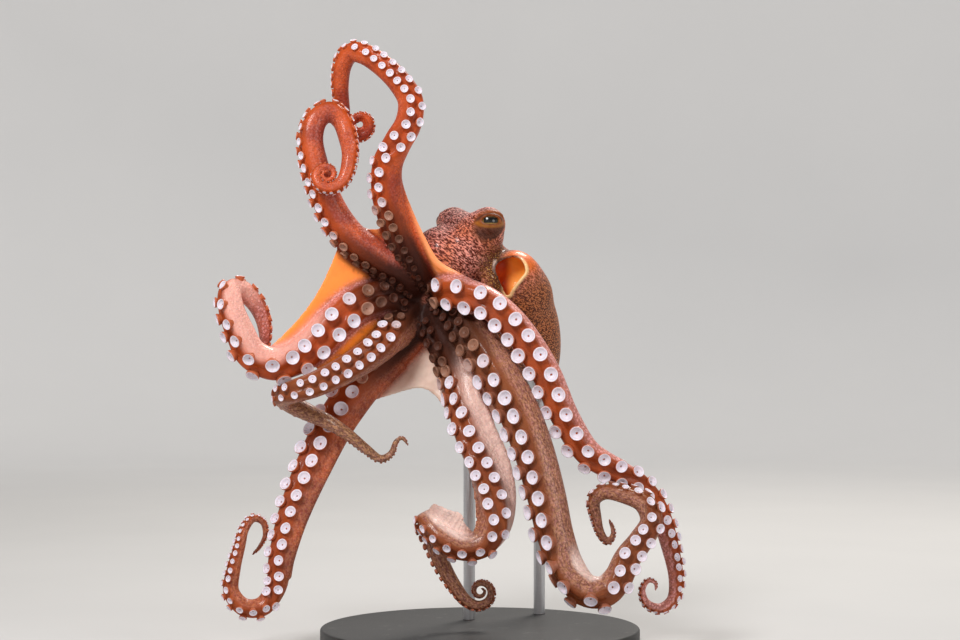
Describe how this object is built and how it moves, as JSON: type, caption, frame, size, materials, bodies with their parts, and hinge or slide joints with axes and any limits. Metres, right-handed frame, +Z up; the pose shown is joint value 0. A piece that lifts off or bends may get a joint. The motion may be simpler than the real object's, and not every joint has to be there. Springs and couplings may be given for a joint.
{
  "type": "octopus",
  "caption": "Common octopus as a still life-size model, arms spread with the suckers in front and curled tips, held over a round base by slim rods.",
  "frame": {"origin": "middle of the underside of the stand's round base, at the level of the floor", "axes": "+Z up, -Y towards the side that the suckers face, +X towards the animal's left arms (to the right as seen from the front)"},
  "size_m": [0.4644, 0.32, 0.6034],
  "materials": {
    "skin": "wet skin, orange-red to brown on the arms and web with pale pink suckers on brown stalks, pink-terracotta with a fine dark brown net and gold-brown speckle on the head and mantle",
    "eye": "glossy eye with a black level slit in a gold iris under a wet clear cover",
    "stand_board": "satin black lacquered board",
    "stand_steel": "brushed steel rod with a flared top"
  },
  "bodies": {
    "root": {"arm_l1_base": "skin", "arm_l1_middle": "skin", "arm_l1_tip": "skin", "arm_l2_base": "skin", "arm_l2_middle": "skin", "arm_l2_tip": "skin", "arm_l3_base": "skin", "arm_l3_middle": "skin", "arm_l3_tip": "skin", "arm_l4_base": "skin", "arm_l4_middle": "skin", "arm_l4_tip": "skin", "arm_r1_base": "skin", "arm_r1_middle": "skin", "arm_r1_tip": "skin", "arm_r2_base": "skin", "arm_r2_middle": "skin", "arm_r2_tip": "skin", "arm_r3_base": "skin", "arm_r3_middle": "skin", "arm_r3_tip": "skin", "arm_r4_base": "skin", "arm_r4_middle": "skin", "arm_r4_tip": "skin", "crown_web": "skin", "head": "skin", "mantle": "skin", "funnel": "skin", "eye_left": "eye", "eye_right": "eye", "stand_base": "stand_board", "stand_rod_head": "stand_steel", "stand_rod_mantle": "stand_steel"}
  },
  "joints": []
}
